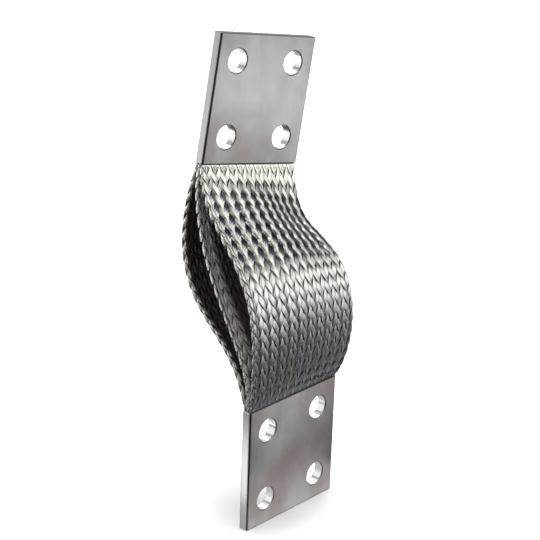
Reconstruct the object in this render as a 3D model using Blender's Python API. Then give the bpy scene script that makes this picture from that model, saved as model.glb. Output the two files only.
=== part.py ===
"""Flexible busbar braid: two drilled terminal plates joined by three flat tubular braids.

Sizes are in metres. +Z is up, +X runs along the lower terminal's width and -Y is the front. The origin is the
centre of the lower terminal's back face, the face that is bolted down.
"""

import math

import bmesh
import bpy
import numpy as np
from mathutils import Matrix, Vector

# Terminal plates, cut from flat bar with rounded long edges
TERMINAL_WIDTH = 0.0762
TERMINAL_HEIGHT = 0.0762
TERMINAL_THICKNESS = 0.00635
LONG_EDGE_RADIUS = 0.0012
LONG_EDGE_STEPS = 4
SAWN_EDGE_RADIUS = 0.0005
SAWN_EDGE_STEPS = 2
SAWN_EDGE_ANGLE = math.radians(60)

# The four bolt holes of a terminal, on a square
BOLT_HOLE_DIAMETER = 0.0143
BOLT_SPACING = 0.04445
BOLT_RIM_CHAMFER = 0.0006
BOLT_HOLE_SIDES = 32
CUT_OVERRUN = 0.001

# Where the upper terminal's centre stands from the lower one's, and how it is turned
UPPER_SHIFT = 0.0229
UPPER_SETBACK = 0.0541
UPPER_RISE = 0.2007
UPPER_LEAN = math.radians(10.5)
UPPER_TURN = math.radians(-5.1)

# A braid: a woven tube pressed flat, with as many plaits one way round as the other
BRAID_COUNT = 3
BRAID_THICKNESS = 0.0030
BRAID_SIDE_INSET = 0.0005
PLAITS_EACH_WAY = 22
PLAIT_LENGTH = 0.00765
PLAIT_RELIEF = 0.0008
PRESSED_LENGTH = 0.012
SEAT_GAP = 0.0003

# How each braid bows between the terminals, from the front one to the rear one. Each of its two edges is a
# curve pulled by three handles: from the lower terminal, from the middle of the edge's chord, and from the
# upper terminal. A handle is a (back, up) pair of shares of the distance between the terminals.
HANDLE_SHARES = {
    "front_braid": {
        "left": ((-0.027, 0.474), (-0.161, 0.129), (-0.006, -0.260)),
        "right": ((-0.219, 0.361), (-0.151, 0.359), (-0.101, -0.442)),
    },
    "middle_braid": {
        "left": ((0.001, 0.283), (0.041, -0.162), (0.030, -0.235)),
        "right": ((-0.161, 0.373), (-0.007, -0.115), (0.176, -0.468)),
    },
    "rear_braid": {
        "left": ((0.074, 0.323), (0.122, -0.193), (0.124, -0.521)),
        "right": ((0.125, 0.260), (0.259, -0.154), (0.287, -0.510)),
    },
}
CURVE_SAMPLES = 240

# How far each braid's middle line swells towards the front of the straight line between its two edges, and the
# shares of its length over which the swell grows from the lower terminal and from the upper one
SWELLS = {"front_braid": 0.006, "middle_braid": 0.0, "rear_braid": 0.0}
SWELL_FROM_LOWER = 0.75
SWELL_FROM_UPPER = 0.18

# Sizes that follow
BRAID_WIDTH = TERMINAL_WIDTH - 2 * BRAID_SIDE_INSET
SEAT_PITCH = TERMINAL_THICKNESS / BRAID_COUNT
PRESSED_THICKNESS = SEAT_PITCH - SEAT_GAP
RING_POINTS = 2 * PLAITS_EACH_WAY

LOWER_FRAME = Matrix.Translation((0, -TERMINAL_THICKNESS / 2, 0))
UPPER_FRAME = (
    LOWER_FRAME
    @ Matrix.Translation((UPPER_SHIFT, UPPER_SETBACK, UPPER_RISE))
    @ Matrix.Rotation(UPPER_LEAN, 4, "Y")
    @ Matrix.Rotation(UPPER_TURN, 4, "Z")
)

# Edges sharper than these show as creases: those of the bar, and those between the sides of a plait's crown
SHARP_EDGE_ANGLE = math.radians(40)
PLAIT_CREASE_ANGLE = math.radians(8)


def clear_scene():
    """Removes every object of the scene that the script starts in."""
    for old in list(bpy.data.objects):
        bpy.data.objects.remove(old, do_unlink=True)


def metal(name, colour, roughness):
    """A bare metal of one colour."""
    material = bpy.data.materials.new(name)
    material.use_nodes = True
    shader = material.node_tree.nodes["Principled BSDF"]
    shader.inputs["Base Color"].default_value = (*colour, 1)
    shader.inputs["Roughness"].default_value = roughness
    shader.inputs["Metallic"].default_value = 1
    return material


def add_object(name, bm, frame, material=None, sharp_angle=SHARP_EDGE_ANGLE):
    """Turns a bmesh into an object of the scene, with its faces pointing out."""
    bmesh.ops.recalc_face_normals(bm, faces=bm.faces)
    mesh = bpy.data.meshes.new(name)
    bm.to_mesh(mesh)
    bm.free()
    mesh.shade_smooth()
    mesh.set_sharp_from_angle(angle=sharp_angle)
    if material:
        mesh.materials.append(material)
    obj = bpy.data.objects.new(name, mesh)
    obj.matrix_world = frame
    bpy.context.scene.collection.objects.link(obj)
    return obj


def bar_section():
    """The bar's section, anticlockwise from above, with a quarter round at each corner."""
    section = []
    half_width = TERMINAL_WIDTH / 2 - LONG_EDGE_RADIUS
    half_thickness = TERMINAL_THICKNESS / 2 - LONG_EDGE_RADIUS
    for quarter, (x_side, y_side) in enumerate(((1, 1), (-1, 1), (-1, -1), (1, -1))):
        for step in range(LONG_EDGE_STEPS + 1):
            angle = (quarter + step / LONG_EDGE_STEPS) * math.pi / 2
            section.append(
                Vector(
                    (
                        x_side * half_width + LONG_EDGE_RADIUS * math.cos(angle),
                        y_side * half_thickness + LONG_EDGE_RADIUS * math.sin(angle),
                        -TERMINAL_HEIGHT / 2,
                    )
                )
            )
    return section


def make_bar(name, frame, material):
    """A length of bar standing on its sawn end, with both sawn ends rounded over."""
    bm = bmesh.new()
    base = bm.faces.new([bm.verts.new(point) for point in bar_section()])
    raised = bmesh.ops.extrude_face_region(bm, geom=[base])["geom"]
    top = [item for item in raised if isinstance(item, bmesh.types.BMVert)]
    bmesh.ops.translate(bm, verts=top, vec=(0, 0, TERMINAL_HEIGHT))
    bar = add_object(name, bm, frame, material)
    rounding = bar.modifiers.new("sawn_edges", "BEVEL")
    rounding.width = SAWN_EDGE_RADIUS
    rounding.segments = SAWN_EDGE_STEPS
    rounding.limit_method = "ANGLE"
    rounding.angle_limit = SAWN_EDGE_ANGLE
    return bar


def make_hole_cutter(name, frame):
    """A turned tool as long as the bar is thick, flared at both faces for the chamfered rims."""
    radius = BOLT_HOLE_DIAMETER / 2
    face = TERMINAL_THICKNESS / 2
    profile = (
        (0, -face - CUT_OVERRUN),
        (radius + BOLT_RIM_CHAMFER + CUT_OVERRUN, -face - CUT_OVERRUN),
        (radius, -face + BOLT_RIM_CHAMFER),
        (radius, face - BOLT_RIM_CHAMFER),
        (radius + BOLT_RIM_CHAMFER + CUT_OVERRUN, face + CUT_OVERRUN),
        (0, face + CUT_OVERRUN),
    )
    bm = bmesh.new()
    points = [bm.verts.new((out, along, 0)) for out, along in profile]
    edges = [bm.edges.new(pair) for pair in zip(points, points[1:])]
    bmesh.ops.spin(
        bm, geom=points + edges, axis=(0, 1, 0), cent=(0, 0, 0), angle=math.tau, steps=BOLT_HOLE_SIDES
    )
    bmesh.ops.remove_doubles(bm, verts=bm.verts, dist=SEAT_GAP / 10)
    cutter = add_object(name, bm, frame)
    cutter.hide_render = True
    cutter.display_type = "WIRE"
    return cutter


def make_terminal(name, frame, material):
    """A terminal plate with its square of four bolt holes."""
    bar = make_bar(name, frame, material)
    for row, z_side in (("low", -1), ("high", 1)):
        for column, x_side in (("left", -1), ("right", 1)):
            place = Matrix.Translation((x_side * BOLT_SPACING / 2, 0, z_side * BOLT_SPACING / 2))
            cutter = make_hole_cutter(f"{name}_{row}_{column}_hole", frame @ place)
            cut = bar.modifiers.new(f"{row}_{column}_hole", "BOOLEAN")
            cut.operation = "DIFFERENCE"
            cut.solver = "EXACT"
            cut.object = cutter
    return bar


def bezier_point(points, share):
    """The point at a share of the way along the curve that the points control."""
    while len(points) > 1:
        points = [first.lerp(second, share) for first, second in zip(points, points[1:])]
    return points[0]


def edge_controls(side, seat, handles):
    """The control points of one edge of a braid, from the lower terminal's edge to the upper one's.

    side is -1 for the left edge and 1 for the right one, and seat is the braid's distance behind the
    terminals' middle plane.
    """
    reach = TERMINAL_HEIGHT / 2 + SEAT_GAP
    foot = Vector((side * BRAID_WIDTH / 2, seat, reach))
    head = Vector((side * BRAID_WIDTH / 2, seat, -reach))
    start, end = LOWER_FRAME @ foot, UPPER_FRAME @ head
    gap = (UPPER_FRAME @ Vector((0, 0, -reach)) - LOWER_FRAME @ Vector((0, 0, reach))).length
    from_lower, from_chord, from_upper = (Vector((0, back, up)) * gap for back, up in handles)
    return [
        start,
        start + from_lower,
        (start + end) / 2 + from_chord,
        end + UPPER_FRAME.to_3x3() @ from_upper,
        end,
    ]


def even_shares(left, right):
    """Curve shares that part the braid into half plaits of one length, and the run at each of them."""
    samples = np.linspace(0, 1, CURVE_SAMPLES + 1)
    middle = [(bezier_point(left, s) + bezier_point(right, s)) / 2 for s in samples]
    steps = [(after - before).length for before, after in zip(middle, middle[1:])]
    run = np.concatenate(([0], np.cumsum(steps)))
    rows = round(2 * run[-1] / PLAIT_LENGTH)
    wanted = np.linspace(0, run[-1], rows + 1)
    return np.interp(wanted, run, samples), wanted


def flattened_ring(width, thickness):
    """Evenly spaced points round a tube pressed flat, from its left fold over its front.

    Each is (across, depth, outward), where across runs from the braid's middle line, depth is towards the
    front and outward is the direction (across, depth) that faces out there.
    """
    radius = thickness / 2
    flat = width - thickness
    quarter = radius * math.pi / 2
    ring = []
    for index in range(RING_POINTS):
        half, place = divmod(index / RING_POINTS * 2, 1)
        run = place * (flat + 2 * quarter)
        over = min(max(run - quarter, 0), flat)
        turn = (min(run, quarter) + max(run - quarter - flat, 0)) / radius
        outward = (-math.cos(turn), math.sin(turn))
        across = over - flat / 2 + radius * outward[0]
        depth = radius * outward[1]
        mirror = -1 if half else 1
        ring.append((mirror * across, mirror * depth, (mirror * outward[0], mirror * outward[1])))
    return ring


def front_direction(left, right, share, at_end, pressed):
    """Which way a braid's left and right edges face at a share of its curve.

    at_end is the direction that the nearer terminal faces, and pressed runs from 1 at that terminal to 0
    where the braid hangs free.
    """
    step = 1 / CURVE_SAMPLES
    before, after = max(share - step, 0), min(share + step, 1)
    across = bezier_point(right, share) - bezier_point(left, share)
    facing = []
    for edge in (left, right):
        along = bezier_point(edge, after) - bezier_point(edge, before)
        facing.append(across.cross(along).normalized().lerp(at_end, pressed).normalized())
    return facing


def smooth(share):
    """A share eased at both of its ends, and kept from 0 to 1."""
    share = min(max(share, 0), 1)
    return share * share * (3 - 2 * share)


def braid_rings(controls, swell):
    """The rings of points of a braid from end to end, in which every second point is a plait's crown.

    swell is how far its middle line stands in front of the straight line between its edges at most.
    """
    left, right = controls
    shares, runs = even_shares(left, right)
    rings = []
    for row, (share, run) in enumerate(zip(shares, runs)):
        pressed = 1 - smooth(min(run, runs[-1] - run) / PRESSED_LENGTH)
        thickness = BRAID_THICKNESS + (PRESSED_THICKNESS - BRAID_THICKNESS) * pressed
        relief = PLAIT_RELIEF * thickness / BRAID_THICKNESS
        near = LOWER_FRAME if run < runs[-1] / 2 else UPPER_FRAME
        facing = front_direction(left, right, share, near.to_3x3() @ Vector((0, -1, 0)), pressed)
        start, end = bezier_point(left, share), bezier_point(right, share)
        width = (end - start).length
        grown = swell * smooth(run / runs[-1] / SWELL_FROM_LOWER) * smooth((1 - run / runs[-1]) / SWELL_FROM_UPPER)
        ring = []
        for index, (across, depth, outward) in enumerate(flattened_ring(width, thickness)):
            sunk = relief if (row + index) % 2 else 0
            place = (across - sunk * outward[0]) / width + 1 / 2
            stand = depth - sunk * outward[1] + grown * math.sin(math.pi * place) ** 2
            ring.append(start.lerp(end, place) + facing[0].lerp(facing[1], place) * stand)
        rings.append(ring)
    return rings


def cap_ring(bm, ring):
    """Closes the flattened end of a tube with a strip from its left fold to its right one."""
    for index in range(RING_POINTS // 2):
        corners = (ring[index], ring[index + 1], ring[-index - 1], ring[-index])
        bm.faces.new(dict.fromkeys(corners))


def make_braid(name, place, handles, material):
    """One flat braid: a lattice of plait crowns on both faces and round both folds."""
    seat = (place - (BRAID_COUNT - 1) / 2) * SEAT_PITCH
    controls = [edge_controls(side, seat, handles[label]) for side, label in ((-1, "left"), (1, "right"))]
    bm = bmesh.new()
    rings = [[bm.verts.new(point) for point in ring] for ring in braid_rings(controls, SWELLS[name])]
    for row, (lower, upper) in enumerate(zip(rings, rings[1:])):
        for index in range(RING_POINTS):
            after = (index + 1) % RING_POINTS
            corners = (lower[index], lower[after], upper[after], upper[index])
            if (row + index) % 2:
                halves = ((0, 1, 2), (0, 2, 3))
            else:
                halves = ((0, 1, 3), (1, 2, 3))
            for half in halves:
                bm.faces.new([corners[corner] for corner in half])
    cap_ring(bm, rings[0])
    cap_ring(bm, rings[-1])
    return add_object(name, bm, Matrix.Identity(4), material, PLAIT_CREASE_ANGLE)


def main():
    """Builds the two terminals and the braids between them."""
    clear_scene()
    tinned_bar = metal("tinned_bar", (0.55, 0.55, 0.56), 0.35)
    tinned_wire = metal("tinned_wire", (0.62, 0.61, 0.57), 0.42)
    make_terminal("lower_terminal", LOWER_FRAME, tinned_bar)
    make_terminal("upper_terminal", UPPER_FRAME, tinned_bar)
    for place, (name, handles) in enumerate(HANDLE_SHARES.items()):
        make_braid(name, place, handles, tinned_wire)


main()
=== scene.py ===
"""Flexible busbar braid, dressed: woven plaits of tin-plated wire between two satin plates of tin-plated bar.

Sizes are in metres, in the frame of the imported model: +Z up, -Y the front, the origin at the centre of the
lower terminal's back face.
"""

import logging
import math
from dataclasses import dataclass, field
from enum import Enum
from typing import Any, Sequence

import bpy
import numpy as np
from mathutils import Matrix, Vector


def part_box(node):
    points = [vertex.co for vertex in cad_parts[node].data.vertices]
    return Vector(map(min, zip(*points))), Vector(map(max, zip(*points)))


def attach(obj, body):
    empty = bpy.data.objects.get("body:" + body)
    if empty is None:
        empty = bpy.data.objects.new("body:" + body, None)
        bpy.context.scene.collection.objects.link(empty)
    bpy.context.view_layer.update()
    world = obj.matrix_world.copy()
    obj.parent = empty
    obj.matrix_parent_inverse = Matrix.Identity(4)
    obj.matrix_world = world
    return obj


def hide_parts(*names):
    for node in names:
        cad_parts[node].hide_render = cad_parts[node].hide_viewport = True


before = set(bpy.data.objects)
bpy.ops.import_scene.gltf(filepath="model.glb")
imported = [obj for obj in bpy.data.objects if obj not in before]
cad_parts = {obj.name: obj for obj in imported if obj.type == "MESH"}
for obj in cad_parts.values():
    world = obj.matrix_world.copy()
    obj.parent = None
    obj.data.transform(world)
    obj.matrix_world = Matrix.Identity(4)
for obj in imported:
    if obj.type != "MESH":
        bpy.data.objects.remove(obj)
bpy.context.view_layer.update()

ROOT = "root"

log = logging.getLogger("busbar_braid")

Operand = Any
Point = tuple[float, float, float]
Colour = tuple[float, float, float]
Handles = Sequence[tuple[float, float]]

WHITE: Colour = (1.0, 1.0, 1.0)
BLACK: Colour = (0.0, 0.0, 0.0)
UNLIT: Colour = (0.012, 0.015, 0.02)


class Lay(Enum):
    """Which way round the tube a plait winds as it rises, seen from the front."""

    RIGHT = 1
    LEFT = -1


class Signal:
    """A socket of a node tree, on which arithmetic adds Math nodes."""

    def __init__(self, bench: "Bench", socket: bpy.types.NodeSocket) -> None:
        """Wraps a socket.

        Args:
            bench: the tree that the socket belongs to.
            socket: an output socket that carries a number.
        """
        self.bench = bench
        self.socket = socket

    def _math(self, operation: str, *operands: Operand) -> "Signal":
        """Adds one Math node.

        Args:
            operation: the node's operation.
            operands: its inputs in order, signals or numbers.

        Returns:
            The node's result.
        """
        node = self.bench.node("ShaderNodeMath", {"operation": operation}, dict(enumerate(operands)))
        return Signal(self.bench, node.outputs[0])

    def __add__(self, other: Operand) -> "Signal":
        """The sum with a signal or a number."""
        return self._math("ADD", self, other)

    __radd__ = __add__

    def __sub__(self, other: Operand) -> "Signal":
        """This less a signal or a number."""
        return self._math("SUBTRACT", self, other)

    def __rsub__(self, other: Operand) -> "Signal":
        """A number less this."""
        return self._math("SUBTRACT", other, self)

    def __mul__(self, other: Operand) -> "Signal":
        """The product with a signal or a number."""
        return self._math("MULTIPLY", self, other)

    __rmul__ = __mul__

    def __truediv__(self, other: Operand) -> "Signal":
        """This over a signal or a number."""
        return self._math("DIVIDE", self, other)

    def fraction(self) -> "Signal":
        """What is left of this over the whole number below it."""
        return self._math("FRACT", self)

    def clamped(self) -> "Signal":
        """This, kept from 0 to 1."""
        return self._math("MAXIMUM", self._math("MINIMUM", self, 1.0), 0.0)


class Bench:
    """The node tree of one material or of the world, and the ways to add to it."""

    def __init__(self, tree: bpy.types.NodeTree) -> None:
        """Empties a tree to build in.

        Args:
            tree: the tree to build in.
        """
        self.tree = tree
        tree.nodes.clear()

    def node(
        self, kind: str, settings: dict[str, Any] | None = None, inputs: dict[Any, Operand] | None = None
    ) -> bpy.types.Node:
        """Adds one node.

        Args:
            kind: the node's type.
            settings: its properties, and "stops" for the (place, colour) pairs of a ramp.
            inputs: the value, socket or signal of each input, by its name or place.

        Returns:
            The node.
        """
        made = self.tree.nodes.new(kind)
        for name, value in (settings or {}).items():
            if name == "stops":
                self._set_stops(made.color_ramp, value)
            else:
                setattr(made, name, value)
        for name, value in (inputs or {}).items():
            if isinstance(value, Signal):
                value = value.socket
            if isinstance(value, bpy.types.NodeSocket):
                self.tree.links.new(value, made.inputs[name])
            else:
                made.inputs[name].default_value = value
        return made

    @staticmethod
    def _set_stops(ramp: bpy.types.ColorRamp, stops: Sequence[tuple[float, Colour]]) -> None:
        """Gives a ramp its stops.

        Args:
            ramp: the ramp, which starts with two stops.
            stops: the place and the colour of each stop, in order.
        """
        while len(ramp.elements) < len(stops):
            ramp.elements.new(1.0)
        for element, (place, colour) in zip(ramp.elements, stops):
            element.position = place
            element.color = (*colour, 1.0)

    def signal(self, node: bpy.types.Node, output: Any = 0) -> Signal:
        """One output of a node, for arithmetic."""
        return Signal(self, node.outputs[output])

    def noise(self, vector: Operand, scale: float, detail: float = 2.0, roughness: float = 0.5) -> Signal:
        """A smooth random field from 0 to 1.

        Args:
            vector: where the field is read.
            scale: how many blotches fit in one unit.
            detail: how many finer layers are added.
            roughness: how strong those are.

        Returns:
            The field.
        """
        inputs = {"Vector": vector, "Scale": scale, "Detail": detail, "Roughness": roughness}
        return self.signal(self.node("ShaderNodeTexNoise", {}, inputs))

    def attribute(self, name: str) -> Signal:
        """A number that the mesh carries at each point."""
        return self.signal(self.node("ShaderNodeAttribute", {"attribute_name": name}), "Fac")

    def axis(self, vector: Operand, name: str) -> Signal:
        """One part of a vector, by its axis."""
        return self.signal(self.node("ShaderNodeSeparateXYZ", {}, {0: vector}), name)

    def vector(self, operation: str, first: Operand, second: Operand) -> bpy.types.Node:
        """A node that works on two vectors, each a socket or a constant."""
        return self.node("ShaderNodeVectorMath", {"operation": operation}, {0: first, 1: second})

    def dot(self, first: Operand, second: Operand) -> Signal:
        """The dot product of two vectors, each a socket or a constant."""
        return self.signal(self.vector("DOT_PRODUCT", first, second), "Value")

    def mixed(self, factor: Operand, first: Operand, second: Operand) -> bpy.types.NodeSocket:
        """Two colours mixed.

        Args:
            factor: the second colour's part, from 0 to 1.
            first: the first colour, or a socket that carries it.
            second: the second.

        Returns:
            The mixed colour's socket.
        """
        settings = {"data_type": "RGBA"}
        colours = [(*c, 1.0) if isinstance(c, tuple) else c for c in (first, second)]
        return self.node("ShaderNodeMix", settings, {0: factor, 6: colours[0], 7: colours[1]}).outputs[2]

    def stretched(
        self, space: bpy.types.NodeSocket, scale: Point, turn: Point = (0, 0, 0)
    ) -> bpy.types.NodeSocket:
        """A space turned, then scaled by its own factor along each axis.

        Args:
            space: the coordinates to change.
            scale: the factor along each axis.
            turn: the turn about each axis, in radians.

        Returns:
            The new coordinates.
        """
        turned = self.node("ShaderNodeMapping", {}, {"Vector": space, "Rotation": turn}).outputs[0]
        return self.node("ShaderNodeMapping", {}, {"Vector": turned, "Scale": scale}).outputs[0]

    def bumped(self, height: Signal, strength: float, depth: float) -> bpy.types.NodeSocket:
        """The surface's normal, tilted by a height.

        Args:
            height: the height's field, from 0 to 1.
            strength: how much of the tilt shows.
            depth: the height in metres where the field is 1.

        Returns:
            The normal's socket.
        """
        inputs = {"Height": height, "Strength": strength, "Distance": depth}
        return self.node("ShaderNodeBump", {}, inputs).outputs[0]

    def seen(self, *ways: str) -> Signal:
        """Whether light comes to the eye in one of some ways.

        Args:
            ways: the ways' names.

        Returns:
            1 where it does, and 0 elsewhere.
        """
        path = self.node("ShaderNodeLightPath")
        return sum(self.signal(path, f"Is {way} Ray") for way in ways).clamped()

    def end_in(self, shader: bpy.types.Node, end: str = "ShaderNodeOutputMaterial") -> None:
        """Leads a shader to the end of the tree."""
        self.node(end, {}, {"Surface": shader.outputs[0]})


def new_bench(name: str) -> tuple[bpy.types.Material, Bench]:
    """Starts a material.

    Args:
        name: the material's name.

    Returns:
        The material and the bench to build it on.
    """
    material = bpy.data.materials.new(name)
    material.use_nodes = True
    return material, Bench(material.node_tree)


@dataclass(frozen=True)
class SatinBar:
    """Tin-plated copper bar: a satin grey metal with faint streaks of rolling and cloudy stains.

    The rolled faces are grey with clouds and stains, with painted shade and light at the weld, the middle and
    the far edge. The sides, cut by machine, get painted shade, and the holes' walls painted light. A line of
    painted shade runs along the edges where they round off and along the rims.
    """

    name: str = "satin_tinned_bar"
    grey: Colour = (0.60, 0.60, 0.595)
    cloud: Colour = (0.47, 0.47, 0.475)
    stain: Colour = (0.44, 0.36, 0.33)
    # The sides' colour: painted shade, set plate by plate.
    painted_side_shade: Colour = (0.70, 0.70, 0.695)
    # Painted light on the holes' walls.
    painted_bore_light: Colour = (0.95, 0.95, 0.95)
    # Painted shade along the plate's edges where they round off.
    painted_edge_shade: Colour = (0.09, 0.09, 0.10)
    # Painted shade round the holes' rims.
    painted_rim_shade: Colour = (0.22, 0.22, 0.225)
    # Painted shade and light at the weld, the middle and the far edge of the plate.
    painted_shading: tuple[float, float, float] = (1.0, 1.0, 1.0)
    clouds_per_metre: float = 28.0
    cloud_gain: float = 2.0
    band_fineness: float = 2.4
    band_stretch: float = 0.25
    band_gain: float = 2.4
    cloud_level: float = 1.7
    stain_gain: float = 5.0
    stain_level: float = 2.6
    stain_share: float = 0.7
    side_sharpness: float = 8.0
    edge_sharpness: float = 10.0
    bored_reach_squared: float = 0.22
    bored_sharpness: float = 200.0
    streaks_per_metre: float = 900.0
    streak_stretch: float = 0.03
    roughness: float = 0.30
    streak_roughness: float = 0.10
    cloud_roughness: float = 0.08
    grain_strength: float = 0.5
    grain_depth: float = 0.00002

    def material(self, plate: "Terminal") -> bpy.types.Material:
        """Builds the finish.

        Args:
            plate: the plate that it is for.

        Returns:
            The material.
        """
        material, bench = new_bench(self.name)
        space = bench.node("ShaderNodeTexCoord").outputs["Object"]
        along = bench.stretched(space, (1, 1, self.streak_stretch), plate.turn)
        streaks = bench.noise(along, self.streaks_per_metre, detail=3.0, roughness=0.6)
        clouds = bench.noise(space, self.clouds_per_metre, detail=4.0, roughness=0.55)
        uneven = (streaks - 0.5) * self.streak_roughness + (clouds - 0.5) * self.cloud_roughness
        inputs = {
            "Base Color": self._worked(bench, self._rolled(bench, space, clouds, plate.turn), plate),
            "Metallic": 1.0,
            "Roughness": uneven + self.roughness,
            "Normal": bench.bumped(streaks, self.grain_strength, self.grain_depth),
        }
        bench.end_in(bench.node("ShaderNodeBsdfPrincipled", {}, inputs))
        return material

    def _rolled(
        self, bench: Bench, space: bpy.types.NodeSocket, clouds: Signal, turn: Point
    ) -> bpy.types.NodeSocket:
        """The colour of the rolled faces, with clouds, bands and stains.

        Args:
            bench: the bench to build on.
            space: the coordinates in the frame.
            clouds: the field of the clouds.
            turn: the turn that brings the bar's own axes onto the frame's, in radians.

        Returns:
            The colour's socket.
        """
        along = bench.stretched(space, (1, 1, self.band_stretch), turn)
        bands = bench.noise(along, self.clouds_per_metre * self.band_fineness, detail=3.0)
        stains = bench.noise(space, self.clouds_per_metre, detail=3.0)
        clouded = (clouds * self.cloud_gain + bands * self.band_gain - self.cloud_level).clamped()
        stained = (stains * self.stain_gain - self.stain_level).clamped() * self.stain_share
        return bench.mixed(stained, bench.mixed(clouded, self.grey, self.cloud), self.stain)

    def _worked(
        self, bench: Bench, rolled: bpy.types.NodeSocket, plate: "Terminal"
    ) -> bpy.types.NodeSocket:
        """The colour all over the plate, with painted shade and light along it, on its sides, its edges and
        in its holes.

        Args:
            bench: the bench to build on.
            rolled: the colour of the rolled faces.
            plate: the plate.

        Returns:
            The colour's socket.
        """
        surface = bench.node("ShaderNodeNewGeometry")
        away = bench.vector("SUBTRACT", surface.outputs["Position"], plate.weld).outputs[0]
        from_weld = bench.dot(away, plate.inward)
        # Painted shade and light along the plate, from the weld to the far edge.
        stops = [(place, (shade, shade, shade)) for place, shade in zip((0.0, 0.5, 1.0), self.painted_shading)]
        shade = bench.node("ShaderNodeValToRGB", {"stops": stops}, {"Fac": from_weld})
        colour = bench.mixed(shade.outputs[0], BLACK, rolled)
        # Where the holes are: their walls get painted light and their rims painted shade.
        within_width, within_height = (
            ((self.bored_reach_squared - off * off) * self.bored_sharpness).clamped()
            for off in (bench.dot(away, plate.across), from_weld - 0.5)
        )
        painted_bore_light = within_width * within_height
        facing = bench.dot(surface.outputs["Normal"], plate.front)
        flat = facing * facing
        # The sides get painted shade, and the holes' walls painted light.
        side = (1 - flat * self.side_sharpness).clamped()
        # A line of painted shade along the edges and round the holes' rims.
        edge = (flat * (1 - flat) * self.edge_sharpness).clamped()
        colour = bench.mixed(side, colour, bench.mixed(painted_bore_light, self.painted_side_shade, self.painted_bore_light))
        return bench.mixed(edge, colour, bench.mixed(painted_bore_light, self.painted_edge_shade, self.painted_rim_shade))


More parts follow.
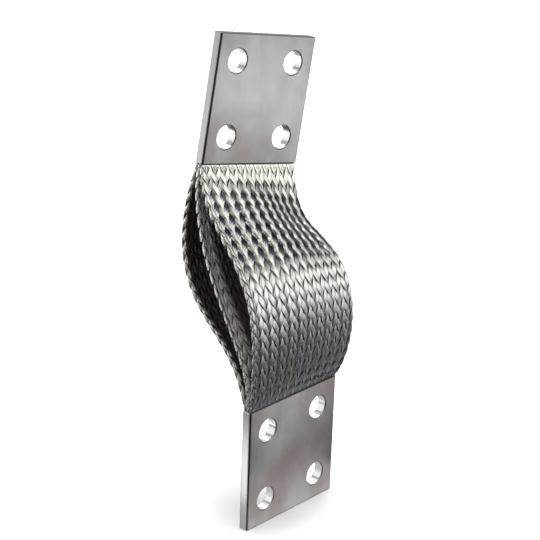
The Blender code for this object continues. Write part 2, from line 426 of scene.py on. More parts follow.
@dataclass(frozen=True)
class BraidWire:
    """Fine tin-plated copper wires, laid side by side in a plait: pale where they crown, with painted shade
    where they dive.

    Up the braid the valleys get deeper painted shade, the plaits turned away from the lamps painted shade and
    the rest painted highlight. Near the upper terminal the wires get a pale painted highlight, and down the
    braid a darker painted shade. The deeper shade up the braid and the shade down it come in between two
    levels each, which are heights in the frame.
    """

    name: str = "tinned_wire"
    crown: Colour = (0.86, 0.845, 0.80)
    # Painted shade in the valleys between the wires and under the crossing plaits.
    painted_valley_shade: Colour = (0.16, 0.175, 0.20)
    crown_gain: float = 1.3
    line_share: float = 0.4
    # Deeper painted shade in the valleys up the braid, between two levels.
    painted_deep_shade: Colour = (0.03, 0.04, 0.055)
    deep_shade_levels: tuple[float, float] = (0.110, 0.122)
    deep_shade_drift: float = 0.01
    deep_shade_share: float = 0.10
    # Painted shade on the plaits turned away from the lamps, up the braid.
    painted_dusk: Colour = (0.025, 0.035, 0.05)
    turned_away: float = 0.95
    turned_to_light: float = 0.85
    # Painted highlight near the upper terminal and on plaits turned to the lamps.
    painted_highlight: Colour = (1.0, 0.975, 0.90)
    top_light_start: float = 1.3
    top_light_length: float = 0.016
    # Painted shade, darker towards the bottom of the braid, between two levels.
    painted_low_shade: Colour = (0.36, 0.37, 0.41)
    low_shade_levels: tuple[float, float] = (0.112, 0.070)
    low_shade_drift: float = 0.02
    low_shade_share: float = 0.62
    # Painted shade between the straps and along the tube's creased line.
    painted_shelter_shade: Colour = (0.10, 0.080, 0.070)
    stain: Colour = (0.50, 0.36, 0.22)
    stain_place: Point = (-0.0168, -0.0093, 0.0577)
    stain_radius: float = 0.016
    stain_share: float = 0.7
    mottles_per_metre: float = 160.0
    lines_per_metre: float = 60.0
    roughness: float = 0.13
    mottle_roughness: float = 0.12
    valley_roughness: float = 0.10
    low_zone_roughness: float = 0.10
    wires_per_plait: float = 9.0
    wire_swell: float = 0.00004

    def material(self) -> bpy.types.Material:
        """Builds the finish.

        Returns:
            The material.
        """
        material, bench = new_bench(self.name)
        laid = bench.node("ShaderNodeUVMap", {"uv_map": "plait"}).outputs[0]
        space = bench.node("ShaderNodeTexCoord").outputs["Object"]
        from_middle = (bench.axis(laid, "X") * self.wires_per_plait).fraction() * 2 - 1
        wires = 1 - from_middle * from_middle
        along = bench.stretched(laid, (self.wires_per_plait, self.lines_per_metre, 1))
        lines = bench.noise(along, scale=1.0, detail=1.0)
        mottle = bench.noise(space, self.mottles_per_metre, detail=3.0)
        # The crown value sets where the valleys get painted shade.
        height = bench.attribute("crown")
        level = bench.axis(space, "Z")
        # Painted highlight near the upper terminal, where the painted contrast stops.
        painted_top_light = (self.top_light_start - bench.attribute("from_top") / self.top_light_length).clamped()
        # Painted contrast up the braid: deeper painted shade in the valleys, painted shade on plaits turned
        # away from the lamps and painted highlight on the rest.
        painted_contrast_mask = self._come_in(level + (mottle - 0.5) * self.deep_shade_drift, self.deep_shade_levels)
        painted_contrast_mask = (painted_contrast_mask + bench.attribute("extra_painted_contrast")).clamped() * (1 - painted_top_light)
        # Painted shade, darker towards the bottom of the braid.
        low_shade_mask = self._come_in(level + (mottle - 0.5) * self.low_shade_drift, self.low_shade_levels)
        low_shade_mask = low_shade_mask * bench.attribute("low_shade_weight")
        # How bright each point is painted: painted light on the crowns, painted shade in the valleys.
        painted_brightness = height * self.crown_gain + (lines - 0.5) * self.line_share - painted_contrast_mask * self.deep_shade_share
        clean = self._lit(bench, painted_brightness.clamped(), painted_top_light, painted_contrast_mask)
        uneven = (mottle - 0.5) * self.mottle_roughness + (1 - height) * self.valley_roughness
        inputs = {
            "Base Color": self._stained_and_shaded(bench, clean, space, mottle, low_shade_mask),
            "Metallic": 1.0,
            "Roughness": uneven + low_shade_mask * self.low_zone_roughness + self.roughness,
            "Normal": bench.bumped(wires, strength=1.0, depth=self.wire_swell),
        }
        bench.end_in(bench.node("ShaderNodeBsdfPrincipled", {}, inputs))
        return material

    @staticmethod
    def _come_in(level: Signal, levels: tuple[float, float]) -> Signal:
        """How far a level has come from the first of two levels to the second, from 0 to 1."""
        return ((level - levels[0]) / (levels[1] - levels[0])).clamped()

    def _lit(self, bench: Bench, painted_brightness: Signal, painted_top_light: Signal, painted_contrast_mask: Signal) -> bpy.types.NodeSocket:
        """The colour of clean wires, with their painted shade and painted highlights.

        Args:
            bench: the bench to build on.
            painted_brightness: how bright a point is painted, from 0 in the painted shade of the valleys to 1
                on a crown.
            painted_top_light: how near it is to the upper terminal, where the wires get a pale painted
                highlight, from 0 to 1.
            painted_contrast_mask: how far up the braid's part with starker painted shade and highlight it is,
                from 0 to 1.

        Returns:
            The colour's socket.
        """
        # Painted shade in the valleys, deeper up the braid.
        painted_valley_shade = bench.mixed(painted_contrast_mask, self.painted_valley_shade, self.painted_deep_shade)
        colour = bench.mixed(painted_brightness, painted_valley_shade, bench.mixed(painted_top_light, self.crown, self.painted_highlight))
        # Up the braid, painted shade on plaits turned away from the lamps and painted highlight on the rest.
        away = bench.attribute("away").clamped()
        colour = bench.mixed(painted_contrast_mask * away * self.turned_away, colour, self.painted_dusk)
        return bench.mixed(painted_contrast_mask * (1 - away) * self.turned_to_light, colour, self.painted_highlight)

    def _stained_and_shaded(
        self,
        bench: Bench,
        clean: bpy.types.NodeSocket,
        space: bpy.types.NodeSocket,
        mottle: Signal,
        low_shade_mask: Signal,
    ) -> bpy.types.NodeSocket:
        """The colour with its painted shade towards the bottom, its brown spot and the painted shade between
        the straps.

        Args:
            bench: the bench to build on.
            clean: the colour of clean wires.
            space: the coordinates in the frame.
            mottle: the field of small blotches.
            low_shade_mask: how much painted shade darkens a point towards the bottom, from 0 to 1.

        Returns:
            The colour's socket.
        """
        # Painted shade towards the bottom of the braid.
        colour = bench.mixed(low_shade_mask * self.low_shade_share, clean, self.painted_low_shade)
        apart = bench.signal(bench.vector("DISTANCE", space, self.stain_place), "Value")
        spot = (1 - apart / self.stain_radius).clamped()
        colour = bench.mixed(spot * mottle * self.stain_share, colour, self.stain)
        # Painted shade between the straps and along the creased line.
        return bench.mixed(bench.attribute("shelter").clamped(), colour, self.painted_shelter_shade)


@dataclass(frozen=True)
class Terminal:
    """A drilled plate of bar, and where it stands.

    The braids are welded on at its top where weld_side is 1, and at its bottom where it is -1. The turn, in
    radians, brings its own axes onto the frame's.
    """

    node: str
    place: Matrix
    turn: Point = (0.0, 0.0, 0.0)
    width: float = 0.0762
    height: float = 0.0762
    thickness: float = 0.00635
    weld_side: int = 1

    def point(self, across: float, back: float, up: float) -> Vector:
        """A point given from the plate's centre, in the frame."""
        return self.place @ Vector((across, back, up))

    @property
    def front(self) -> Vector:
        """The direction that the plate's front faces."""
        return self.place.to_3x3() @ Vector((0, -1, 0))

    @property
    def weld(self) -> Vector:
        """The middle of the edge at which the braids are welded on."""
        return self.point(0, 0, self.weld_side * self.height / 2)

    @property
    def inward(self) -> Vector:
        """The direction from that edge to the far one, one over the way long."""
        return self.place.to_3x3() @ Vector((0, 0, -self.weld_side)) / self.height

    @property
    def across(self) -> Vector:
        """The direction along that edge, one over its length long."""
        return self.place.to_3x3() @ Vector((1, 0, 0)) / self.width

    def dress(self, finish: SatinBar) -> None:
        """Gives the plate its finish.

        Args:
            finish: the bar's finish.
        """
        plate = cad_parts[self.node]
        plate.data.materials.clear()
        plate.data.materials.append(finish.material(self))
        log.info("%s dressed in %s", self.node, finish.name)


def smooth(share: np.ndarray) -> np.ndarray:
    """Shares kept from 0 to 1 and eased at both ends."""
    kept = np.clip(share, 0, 1)
    return kept * kept * (3 - 2 * kept)


def bezier(points: Sequence[Vector], shares: np.ndarray) -> np.ndarray:
    """Points of the curve that some control points make.

    Args:
        points: the control points, in order.
        shares: how far along the curve each point is, from 0 to 1.

    Returns:
        The points.
    """
    row = [np.tile(np.array(point), (len(shares), 1)) for point in points]
    part = shares[:, None]
    while len(row) > 1:
        row = [first * (1 - part) + second * part for first, second in zip(row, row[1:])]
    return row[0]


def unit(vectors: np.ndarray) -> np.ndarray:
    """Vectors made one long."""
    return vectors / np.linalg.norm(vectors, axis=-1, keepdims=True)


@dataclass(frozen=True)
class Strap:
    """What each of the three braids has of its own.

    Each edge has three handles, back and up, as shares of the gap between the plates: out of the lower plate,
    off the middle of the straight line to the upper one, and out of the upper plate in that plate's own axes.
    The swell is how far the middle bulges forward.

    The rest is for the finish, and sets its painted shade and light. The painted shade that stands for the
    shelter of the straps in front begins and is full at two places across the front face, and the painted
    shade where the tube is creased lies at another, all counted from 0 at the left fold to 1 at the right
    one. The low shade weight is how much painted shade darkens the wires down the braid, and the extra
    painted contrast is how much is added to the painted shade and highlight that their height gives them.
    """

    node: str
    left: Handles
    right: Handles
    # Painted shade between the straps, and where the tube is creased.
    shelter: tuple[float, float]
    painted_crease: float = 0.0
    swell: float = 0.0
    # How much painted shade darkens this strap towards the bottom.
    low_shade_weight: float = 0.0
    # Extra painted shade and highlight for this strap.
    extra_painted_contrast: float = 0.0


@dataclass
class Braid:
    """One woven tube pressed flat, from the lower terminal's edge to the upper one's."""

    strap: Strap
    place: int
    lower: Terminal
    upper: Terminal
    swell_from_lower: float = 0.75
    swell_from_upper: float = 0.18
    count: int = 3
    side_inset: float = 0.0005
    thickness: float = 0.0030
    plaits_each_way: int = 44
    plait_length: float = 0.00765
    pressed_length: float = 0.012
    seat_gap: float = 0.0003
    plait_thickness: float = 0.0005
    plait_cover_share: float = 0.97
    plait_shoulder: float = 0.27
    plait_edge_drop: float = 0.75
    plait_under_share: float = 0.25
    swing: float = 0.0007
    wires: int = 3
    wire_relief: float = 0.00004
    sections_per_crossing: int = 3
    float_fullness: float = 0.25
    column_phase: float = 0.8
    row_phase: float = 0.9
    # These set the painted shade under the crossing plaits and in the grooves between the wires.
    crown_gain: float = 0.75
    groove_shade: float = 0.35
    # Where the painted shade between the straps and along the creased line goes.
    shelter_ease: float = 4.0
    face_end: float = 0.97
    crease_width: float = 0.007
    # Where the plaits turned away from the lamps get painted shade.
    away_from_left: float = 0.34
    away_from_right: float = -0.40
    away_shares: tuple[float, float] = (0.15, 0.65)
    away_gain: float = 4.0
    samples: int = 480
    unevenness: float = 0.00005
    seed: int = 7
    rows: int = field(init=False)
    table: dict[str, np.ndarray] = field(init=False)

    def __post_init__(self) -> None:
        """Works out the braid's course from its controls."""
        shares = np.linspace(0, 1, self.samples + 1)
        sides = ((-1, self.strap.left), (1, self.strap.right))
        left, right = (bezier(self._controls(side, handles), shares) for side, handles in sides)
        middle = (left + right) / 2
        run = np.concatenate(([0], np.cumsum(np.linalg.norm(np.diff(middle, axis=0), axis=1))))
        share = run / run[-1]
        self.rows = round(2 * run[-1] / self.plait_length)
        pressed = 1 - smooth(np.minimum(run, run[-1] - run) / self.pressed_length)
        lower = run < run[-1] / 2
        ends = np.where(lower[:, None], np.array(self.lower.front), np.array(self.upper.front))
        across = right - left
        facing = []
        for edge in (left, right):
            free = unit(np.cross(across, np.gradient(edge, axis=0)))
            facing.append(unit(free * (1 - pressed[:, None]) + ends * pressed[:, None]))
        tight = self.lower.thickness / self.count - self.seat_gap
        eased = smooth(share / self.swell_from_lower) * smooth((1 - share) / self.swell_from_upper)
        self.table = {
            "crossing": share * self.rows,
            "left": left,
            "right": right,
            "left_facing": facing[0],
            "right_facing": facing[1],
            "thickness": self.thickness + (tight - self.thickness) * pressed,
            "swell": self.strap.swell * eased,
        }

    def _controls(self, side: int, handles: Handles) -> list[Vector]:
        """The control points of one edge.

        Args:
            side: -1 for the left edge and 1 for the right one.
            handles: the edge's three handles, as shares of the gap between the plates.

        Returns:
            The points, from the lower terminal's edge to the upper one's.
        """
        seat = (self.place - (self.count - 1) / 2) * self.lower.thickness / self.count
        half = self.lower.width / 2 - self.side_inset
        reach = self.lower.height / 2 + self.seat_gap
        start = self.lower.point(side * half, seat, reach)
        end = self.upper.point(side * half, seat, -reach)
        gap = (self.upper.point(0, 0, -reach) - self.lower.point(0, 0, reach)).length
        from_lower, from_chord, from_upper = (Vector((0, back, up)) * gap for back, up in handles)
        turned = self.upper.place.to_3x3() @ from_upper
        return [start, start + from_lower, (start + end) / 2 + from_chord, end + turned, end]

    def _read(self, name: str, crossing: np.ndarray) -> np.ndarray:
        """Reads the course's table.

        Args:
            name: the column's name.
            crossing: how far up the braid, in crossings.

        Returns:
            The column's numbers or points there.
        """
        column = self.table[name]
        if column.ndim == 1:
            return np.interp(crossing, self.table["crossing"], column)
        parts = [np.interp(crossing, self.table["crossing"], part) for part in column.T]
        return np.stack(parts, axis=-1)

    def _turn_share(self, column: np.ndarray) -> np.ndarray:
        """How far round the tube some columns are: 0 at its left fold, 1 at its right one, and on to 2."""
        return (column / (2 * self.plaits_each_way)) % 1 * 2

    def on_tube(self, column: np.ndarray, crossing: np.ndarray, height: np.ndarray) -> np.ndarray:
        """Points on the flattened tube.

        Args:
            column: how far round the tube from its left fold, in half plaits.
            crossing: how far up the braid, in crossings.
            height: the distance out from the middle of the tube's wall, where the braid is at its full
                thickness.

        Returns:
            The points in the frame.
        """
        start, end = self._read("left", crossing), self._read("right", crossing)
        thickness = self._read("thickness", crossing)
        width = np.linalg.norm(end - start, axis=-1)
        wall = thickness / 2
        radius = wall / 2
        flat = width - thickness
        quarter = radius * math.pi / 2
        turn_share = self._turn_share(column)
        half = np.floor(turn_share)
        run = (turn_share - half) * (flat + 2 * quarter)
        over = np.clip(run - quarter, 0, flat)
        turn = (np.minimum(run, quarter) + np.maximum(run - quarter - flat, 0)) / radius
        mirror = np.where(half > 0, -1, 1)
        out_across, out_front = -np.cos(turn) * mirror, np.sin(turn) * mirror
        reach = radius + height * thickness / self.thickness
        across = (over - flat / 2) * mirror + reach * out_across
        share = across / width + 0.5
        depth = reach * out_front + self._read("swell", crossing) * np.sin(math.pi * share) ** 2
        place = share[..., None]
        facings = self._read("left_facing", crossing), self._read("right_facing", crossing)
        facing = facings[0] * (1 - place) + facings[1] * place
        return start * (1 - place) + end * place + facing * depth[..., None]

    def _sheltered(self, column: np.ndarray, crossing: np.ndarray) -> np.ndarray:
        """How much painted shade some points of the front face get, for the light that the straps in front
        keep from them and along the tube's creased line, from 0 to 1.

        Args:
            column: how far round the tube from its left fold, in half plaits.
            crossing: how far up the braid, in crossings.

        Returns:
            The shares, which are 0 outside the front face.
        """
        turn_share = self._turn_share(column)
        begins, full = self.strap.shelter
        inward = (np.minimum(turn_share, 1) - begins) / (full - begins)
        along = np.sin(np.clip(crossing / self.rows, 0, 1) * math.pi)
        hidden = smooth(inward) * smooth(along * self.shelter_ease)
        # Painted shade along the tube's creased line.
        if self.strap.painted_crease:
            from_crease = (turn_share - self.strap.painted_crease) / self.crease_width
            hidden = np.maximum(hidden, np.exp(-(from_crease**2)) * along)
        return np.where(turn_share < self.face_end, hidden, 0)

    def _turned_away(self, lay: Lay, column: np.ndarray, over: np.ndarray) -> np.ndarray:
        """How much painted shade the plaits that lean to the right get for turning away from the lamps, from
        0 to 1.

        Args:
            lay: the way that the plaits wind.
            column: how far round the tube from its left fold, in half plaits.
            over: how far each point has risen over the crossing plaits, from -1 to about 1.

        Returns:
            The shares, which are 0 on the plaits that lean to the left.
        """
        turn_share = self._turn_share(column)
        from_left = np.minimum(turn_share, 2 - turn_share)
        near, far = self.away_shares
        eased = smooth((from_left - near) / (far - near))
        start = self.away_from_left + (self.away_from_right - self.away_from_left) * eased
        return np.clip((over - start) * self.away_gain, 0, 1) * (lay is Lay.RIGHT)

    def _looks(
        self, lay: Lay, column: np.ndarray, crossing: np.ndarray, over: np.ndarray, crown: np.ndarray
    ) -> dict[str, np.ndarray]:
        """The values that the finish reads at each point, most of them masks for its painted shade and light.

        Args:
            lay: the way that the plaits wind.
            column: how far round the tube from its left fold, in half plaits.
            crossing: how far up the braid, in crossings.
            over: how far each point has risen over the crossing plaits, from -1 to about 1.
            crown: how much of a crown each point of the section is, from 0 to 1.

        Returns:
            The values by their names.
        """
        # How far each point stands over the crossing plaits; with the grooves between the wires it sets the
        # painted shade of the valleys.
        open_share = np.clip(0.5 + over * self.crown_gain, 0, 1)
        return {
            "crown": open_share * (self.groove_shade + (1 - self.groove_shade) * crown),
            "shelter": self._sheltered(column, crossing),
            "from_top": (self.rows - crossing) * self.plait_length / 2,
            "away": self._turned_away(lay, column, over),
            "low_shade_weight": np.full(column.shape, self.strap.low_shade_weight),
            "extra_painted_contrast": np.full(column.shape, self.strap.extra_painted_contrast),
        }

    def _section(self) -> tuple[np.ndarray, np.ndarray, np.ndarray]:
        """The section of a plait: round-topped wires, and a plain underside.

        Returns:
            For each point of the closed section, its share across the plait from -0.5 to 0.5, its height
            over the plait's middle, and how much of a crown it is, from 0 to 1.
        """
        across, dip = [], []
        for wire in range(self.wires):
            for part in (0.0, self.plait_shoulder, 1 - self.plait_shoulder):
                across.append((wire + part) / self.wires - 0.5)
                dip.append(0.0 if part else 1.0)
        across.append(0.5)
        dip.append(1.0)
        share = np.array(across)
        half = self.plait_thickness / 2
        top = half * (1 - self.plait_edge_drop * np.abs(2 * share) ** 3) - self.wire_relief * np.array(dip)
        under = (self.plait_under_share, -self.plait_under_share)
        crown = 1 - np.concatenate((dip, np.ones(len(under))))
        return np.concatenate((share, under)), np.concatenate((top, np.full(len(under), -half))), crown

    def _uneven(self, rng: np.random.Generator, crossing: np.ndarray, share: np.ndarray) -> np.ndarray:
        """How far the plaits stand off their course, drawn for each plait at each crossing.

        Args:
            rng: the source of the draws.
            crossing: how far up the braid each section is, in crossings.
            share: the share across the plait of each point of the section.

        Returns:
            The heights, by plait, by section and by point.
        """
        knots = np.arange(self.rows + 1)
        drawn = (self.plaits_each_way, len(knots))
        tilts = rng.normal(0, self.unevenness, drawn)
        lifts = rng.normal(0, self.unevenness / 2, drawn)
        heights = []
        for tilt, lift in zip(tilts, lifts):
            tilted, lifted = (np.interp(crossing, knots, draw)[:, None] for draw in (tilt, lift))
            heights.append(tilted * share * 2 + lifted)
        return np.stack(heights)

    def weave(self, lay: Lay) -> bpy.types.Object:
        """Builds every plait that winds one way.

        Args:
            lay: the way.

        Returns:
            The piece.
        """
        rng = np.random.default_rng(self.seed + self.place * len(Lay) + lay.value)
        share, rise, crown = self._section()
        sections = np.linspace(0, self.rows, self.rows * self.sections_per_crossing + 1)
        crossing = sections[:, None]
        carrier = np.arange(self.plaits_each_way)[:, None, None]
        across = share * self.plait_cover_share
        middle = 2 * carrier + lay.value * (crossing - self.row_phase) + self.column_phase
        wave = np.sin((middle + across + 0.5 - self.column_phase) * math.pi / 2) * -lay.value
        over = wave * (1 + self.float_fullness * (1 - wave * wave))
        height = self.swing * over + rise + self._uneven(rng, sections, share)
        column, crossing, over = np.broadcast_arrays(middle + 2 * across, crossing, over)
        laid = np.stack(np.broadcast_arrays(share + carrier, crossing * self.plait_length / 2), axis=-1)
        points = self.on_tube(column, crossing, height)
        name = f"{self.strap.node}_{lay.name.lower()}_lay"
        piece = ribbon_mesh(name, points, self._looks(lay, column, crossing, over, crown), laid)
        log.info("%s: %d plaits, %d points", piece.name, self.plaits_each_way, len(piece.data.vertices))
        return piece

    def dress(self, finish: bpy.types.Material) -> None:
        """Weaves both ways round and lets the plaits stand for the plain solid.

        Args:
            finish: the wires' material.
        """
        for lay in Lay:
            piece = self.weave(lay)
            piece.data.materials.append(finish)
            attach(piece, ROOT)
            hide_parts(self.strap.node)


def ribbon_mesh(
    name: str, points: np.ndarray, looks: dict[str, np.ndarray], laid: np.ndarray
) -> bpy.types.Object:
    """A mesh of closed ribbons.

    Args:
        name: the piece's name.
        points: the points by ribbon, by place along it and by place round its section.
        looks: the values that the finish reads at each point, by their name.
        laid: each point's place across and along its ribbon.

    Returns:
        The piece, in the scene.
    """
    ribbons, count, ring = points.shape[:3]
    index = np.arange(ribbons * count * ring).reshape(ribbons, count, ring)
    after = np.roll(index, -1, axis=2)
    quads = np.stack((index[:, :-1], after[:, :-1], after[:, 1:], index[:, 1:]), axis=-1).reshape(-1, 4)
    caps = np.concatenate((index[:, 0, ::-1], index[:, -1]))
    corners = np.concatenate((quads.ravel(), caps.ravel()))
    starts = np.concatenate((np.arange(len(quads)) * 4, len(quads) * 4 + np.arange(len(caps)) * ring))
    mesh = bpy.data.meshes.new(name)
    mesh.vertices.add(index.size)
    mesh.vertices.foreach_set("co", points.reshape(-1).astype(np.float32))
    mesh.loops.add(len(corners))
    mesh.loops.foreach_set("vertex_index", corners.astype(np.int32))
    mesh.polygons.add(len(starts))
    mesh.polygons.foreach_set("loop_start", starts.astype(np.int32))
    mesh.update(calc_edges=True)
    for look, values in looks.items():
        column = mesh.attributes.new(look, "FLOAT", "POINT")
        column.data.foreach_set("value", values.reshape(-1).astype(np.float32))
    uv = laid.reshape(-1, 2)[corners]
    mesh.uv_layers.new(name="plait").data.foreach_set("uv", uv.reshape(-1).astype(np.float32))
    mesh.shade_smooth()
    mesh.validate()
    piece = bpy.data.objects.new(name, mesh)
    bpy.context.scene.collection.objects.link(piece)
    return piece


@dataclass(frozen=True)
class SoftBox:
    """A soft rectangular lamp that faces the part."""

    name: str
    place: Point
    size: tuple[float, float]
    power: float
    aim: Point = (0.0, 0.02, 0.09)

    def build(self) -> None:
        """Hangs the lamp."""
        lamp = bpy.data.lights.new(self.name, "AREA")
        lamp.shape = "RECTANGLE"
        lamp.size, lamp.size_y = self.size
        lamp.energy = self.power
        holder = bpy.data.objects.new(self.name, lamp)
        holder.location = self.place
        holder.rotation_euler = (Vector(self.aim) - Vector(self.place)).to_track_quat("-Z", "Y").to_euler()
        holder.visible_glossy = False
        bpy.context.scene.collection.objects.link(holder)


@dataclass(frozen=True)
class Card:
    """A glowing card, bent on a sphere round the part or laid on the floor, that shows only in the metal.

    Turns are counted in degrees from the frame's +X towards +Y. Reaches are elevations in degrees for a card
    on the sphere, and distances from the origin for a card on the floor.
    """

    name: str
    turns: tuple[float, float]
    reaches: tuple[float, float]
    glow: float
    on_floor: bool = False
    colour: Colour = WHITE
    radius: float = 3.9
    centre: Point = (0.02, 0.02, 0.1)
    lift: float = 0.0004
    step: float = 7.5
    blocks: bool = False

    def _corner(self, turn: float, reach: float, level: float) -> Point:
        """One point of the card.

        Args:
            turn: the way out from the middle, in degrees.
            reach: the elevation in degrees, or the distance on the floor.
            level: the floor's height.

        Returns:
            The point in the frame.
        """
        angle = math.radians(turn)
        if self.on_floor:
            return reach * math.cos(angle), reach * math.sin(angle), level + self.lift
        rise = math.radians(reach)
        out = self.radius * math.cos(rise)
        x, y, z = self.centre
        return x + out * math.cos(angle), y + out * math.sin(angle), z + self.radius * math.sin(rise)

    def build(self, level: float) -> None:
        """Stands the card.

        Args:
            level: the floor's height.
        """
        columns = max(1, round((self.turns[1] - self.turns[0]) / self.step))
        rows = 1 if self.on_floor else max(1, round((self.reaches[1] - self.reaches[0]) / self.step))
        points = [
            self._corner(turn, reach, level)
            for reach in np.linspace(*self.reaches, rows + 1)
            for turn in np.linspace(*self.turns, columns + 1)
        ]
        wide = columns + 1
        starts = [row * wide + column for row in range(rows) for column in range(columns)]
        faces = [(start, start + 1, start + wide + 1, start + wide) for start in starts]
        mesh = bpy.data.meshes.new(self.name)
        mesh.from_pydata(points, [], faces)
        card = bpy.data.objects.new(self.name, mesh)
        bpy.context.scene.collection.objects.link(card)
        material, bench = new_bench(self.name)
        inputs = {"Color": (*self.colour, 1.0), "Strength": self.glow}
        bench.end_in(bench.node("ShaderNodeEmission", {}, inputs))
        mesh.materials.append(material)
        card.visible_camera = False
        card.visible_diffuse = False
        card.visible_transmission = False
        card.visible_shadow = self.blocks


@dataclass
class Studio:
    """The pale floor, the white surround, the lamp, the cards that the metal mirrors, and the camera.

    The tent is dark and shuts the surround off from the metal wherever no card stands.
    """

    floor_level: float
    floor_reach: float = 1.6
    floor_colour: Colour = (0.82, 0.82, 0.82)
    floor_glow: float = 0.14
    surround_light: float = 0.5
    lens: float = 123.16
    clip_start: float = 0.05
    camera_place: Point = (-0.7500, -0.63929, 0.4996)
    camera_right: Point = (0.66697, -0.74434, 0.03220)
    camera_away: Point = (0.70134, 0.61268, -0.36440)
    lamp: SoftBox = SoftBox("top_softbox", place=(0.3, 0.3, 2.2), size=(1.5, 1.5), power=75.0)
    cards: Sequence[Card] = (
        Card("front_card", (240, 300), (12, 72), 1.42),
        Card("front_right_card", (300, 330), (0, 50), 1.53),
        Card("front_low_card", (240, 300), (0, 12), 0.31),
        Card("left_card", (120, 180), (0, 50), 1.02),
        Card("left_front_card", (180, 240), (0, 60), 0.25),
        Card("right_card", (330, 360), (0, 50), 0.40),
        Card("back_low_card", (0, 120), (0, 30), 0.40),
        Card("back_high_card", (0, 90), (30, 72), 2.31),
        Card("far_floor_card", (60, 150), (0.9, 3.8), 2.56, on_floor=True),
        Card("back_floor_card", (60, 120), (0.35, 0.9), 2.56, on_floor=True),
        Card("left_back_floor_card", (120, 150), (0.35, 0.9), 0.25, on_floor=True),
        Card("near_floor_card", (60, 180), (0.07, 0.16), 1.31, on_floor=True),
        Card("foot_card", (0, 360), (0.0, 0.07), 0.48, on_floor=True),
        Card("right_floor_card", (300, 330), (0.35, 3.8), 1.15, on_floor=True),
        Card("right_far_floor_card", (330, 360), (0.9, 3.8), 1.05, on_floor=True),
        Card("left_front_floor_card", (180, 240), (0.12, 3.8), 0.16, on_floor=True),
        Card("right_back_floor_card", (0, 60), (0.12, 3.8), 0.40, on_floor=True),
        Card("right_near_floor_card", (300, 330), (0.07, 0.35), 0.48, on_floor=True),
    )
    tent: Sequence[Card] = (
        Card("tent", (0, 360), (-2, 90), 1.0, colour=UNLIT, radius=4.0, blocks=True),
        Card("floor_tent", (0, 360), (0.0, 4.0), 1.0, on_floor=True, colour=UNLIT, lift=0.0002),
    )

    def build(self) -> None:
        """Sets the stage."""
        self._floor()
        self._surround()
        self.lamp.build()
        for card in (*self.tent, *self.cards):
            card.build(self.floor_level)
        self._camera()
        bpy.context.scene.view_settings.view_transform = "Standard"
        log.info("studio set with a floor, a lamp and %d cards", len(self.cards))

    def _floor(self) -> None:
        """Lays the floor under the lower terminal."""
        reach, level = self.floor_reach, self.floor_level
        mesh = bpy.data.meshes.new("floor")
        corners = [(x * reach, y * reach, level) for x, y in ((-1, -1), (1, -1), (1, 1), (-1, 1))]
        mesh.from_pydata(corners, [], [(0, 1, 2, 3)])
        floor = bpy.data.objects.new("floor", mesh)
        bpy.context.scene.collection.objects.link(floor)
        material, bench = new_bench("pale_floor")
        paint = bench.node("ShaderNodeBsdfDiffuse", {}, {"Color": (*self.floor_colour, 1.0)})
        glow = bench.node("ShaderNodeEmission", {}, {"Color": (*WHITE, 1.0), "Strength": self.floor_glow})
        both = bench.node("ShaderNodeAddShader", {}, {0: paint.outputs[0], 1: glow.outputs[0]})
        lit = bench.seen("Camera", "Glossy")
        inputs = {0: lit, 1: paint.outputs[0], 2: both.outputs[0]}
        bench.end_in(bench.node("ShaderNodeMixShader", {}, inputs))
        mesh.materials.append(material)

    def _surround(self) -> None:
        """Makes the surround white where it is seen or mirrored, and soft where it lights."""
        world = bpy.data.worlds.new("surround")
        world.use_nodes = True
        bpy.context.scene.world = world
        bench = Bench(world.node_tree)
        soft, full = (
            bench.node("ShaderNodeBackground", {}, {"Color": (*WHITE, 1.0), "Strength": strength}).outputs[0]
            for strength in (self.surround_light, 1.0)
        )
        inputs = {0: bench.seen("Camera", "Glossy", "Transmission"), 1: soft, 2: full}
        bench.end_in(bench.node("ShaderNodeMixShader", {}, inputs), "ShaderNodeOutputWorld")

    def _camera(self) -> None:
        """Stands the camera where the photograph was taken from."""
        data = bpy.data.cameras.new("camera")
        data.lens = self.lens
        data.clip_start = self.clip_start
        camera = bpy.data.objects.new("camera", data)
        right, back = Vector(self.camera_right).normalized(), -Vector(self.camera_away).normalized()
        up = back.cross(right)
        turned = Matrix((right, up, back)).transposed().to_4x4()
        camera.matrix_world = Matrix.Translation(self.camera_place) @ turned
        bpy.context.scene.collection.objects.link(camera)
        bpy.context.scene.camera = camera


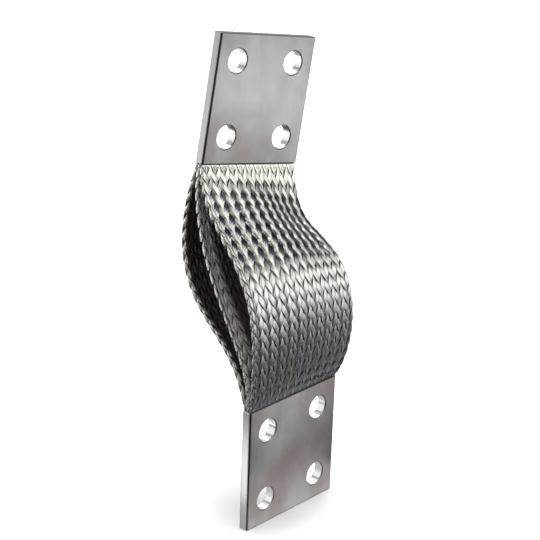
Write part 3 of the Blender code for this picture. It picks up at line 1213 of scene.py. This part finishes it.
@dataclass(frozen=True)
class Link:
    """The whole link: two terminals and the braids between them."""

    upper_shift: float = 0.0229
    upper_setback: float = 0.0541
    upper_rise: float = 0.2007
    upper_lean: float = math.radians(10.5)
    upper_turn: float = math.radians(-5.1)
    # The two plates are lit and shaded copies of one bar finish: the lower one's lighter grey, clouds and
    # stains, each one's painted shade and light along it, and each one's side colour are painted light and
    # shade.
    lower_painted_light_finish: SatinBar = SatinBar(
        name="lower_bar_painted_light",
        grey=(0.88, 0.87, 0.87),
        cloud=(0.70, 0.69, 0.70),
        stain=(0.62, 0.50, 0.48),
        stain_level=2.1,
        painted_shading=(0.93, 0.66, 1.0),
    )
    upper_painted_light_finish: SatinBar = SatinBar(
        name="upper_bar_painted_light", painted_side_shade=(0.38, 0.38, 0.377), painted_shading=(0.70, 1.0, 0.80)
    )
    straps: Sequence[Strap] = (
        Strap(
            "front_braid",
            left=((-0.027, 0.474), (-0.161, 0.129), (-0.006, -0.260)),
            right=((-0.219, 0.361), (-0.151, 0.359), (-0.101, -0.442)),
            shelter=(1.0, 1.2),
            painted_crease=0.034,
            swell=0.006,
            low_shade_weight=1.0,
        ),
        Strap(
            "middle_braid",
            left=((0.001, 0.283), (0.041, -0.162), (0.030, -0.235)),
            right=((-0.161, 0.373), (-0.007, -0.115), (0.176, -0.468)),
            shelter=(0.09, 0.135),
            painted_crease=0.012,
            extra_painted_contrast=-1.0,
        ),
        Strap(
            "rear_braid",
            left=((0.074, 0.323), (0.122, -0.193), (0.124, -0.521)),
            right=((0.125, 0.260), (0.259, -0.154), (0.287, -0.510)),
            shelter=(0.0, 0.025),
            extra_painted_contrast=0.45,
        ),
    )

    def build(self) -> None:
        """Dresses the terminals and weaves the braids."""
        middle = Matrix.Translation((0, -Terminal.thickness / 2, 0))
        moved = Matrix.Translation((self.upper_shift, self.upper_setback, self.upper_rise))
        turned = Matrix.Rotation(self.upper_lean, 4, "Y") @ Matrix.Rotation(self.upper_turn, 4, "Z")
        lower = Terminal("lower_terminal", middle)
        place = middle @ moved @ turned
        upper = Terminal("upper_terminal", place, (0.0, -self.upper_lean, 0.0), weld_side=-1)
        lower.dress(self.lower_painted_light_finish)
        upper.dress(self.upper_painted_light_finish)
        wire = BraidWire().material()
        for order, strap in enumerate(self.straps):
            Braid(strap, order, lower, upper).dress(wire)


def main() -> None:
    """Builds the link and the studio round it."""
    logging.basicConfig(level=logging.INFO, format="%(name)s: %(message)s")
    Link().build()
    Studio(floor_level=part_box("lower_terminal")[0].z).build()


if __name__ == "__main__":
    main()
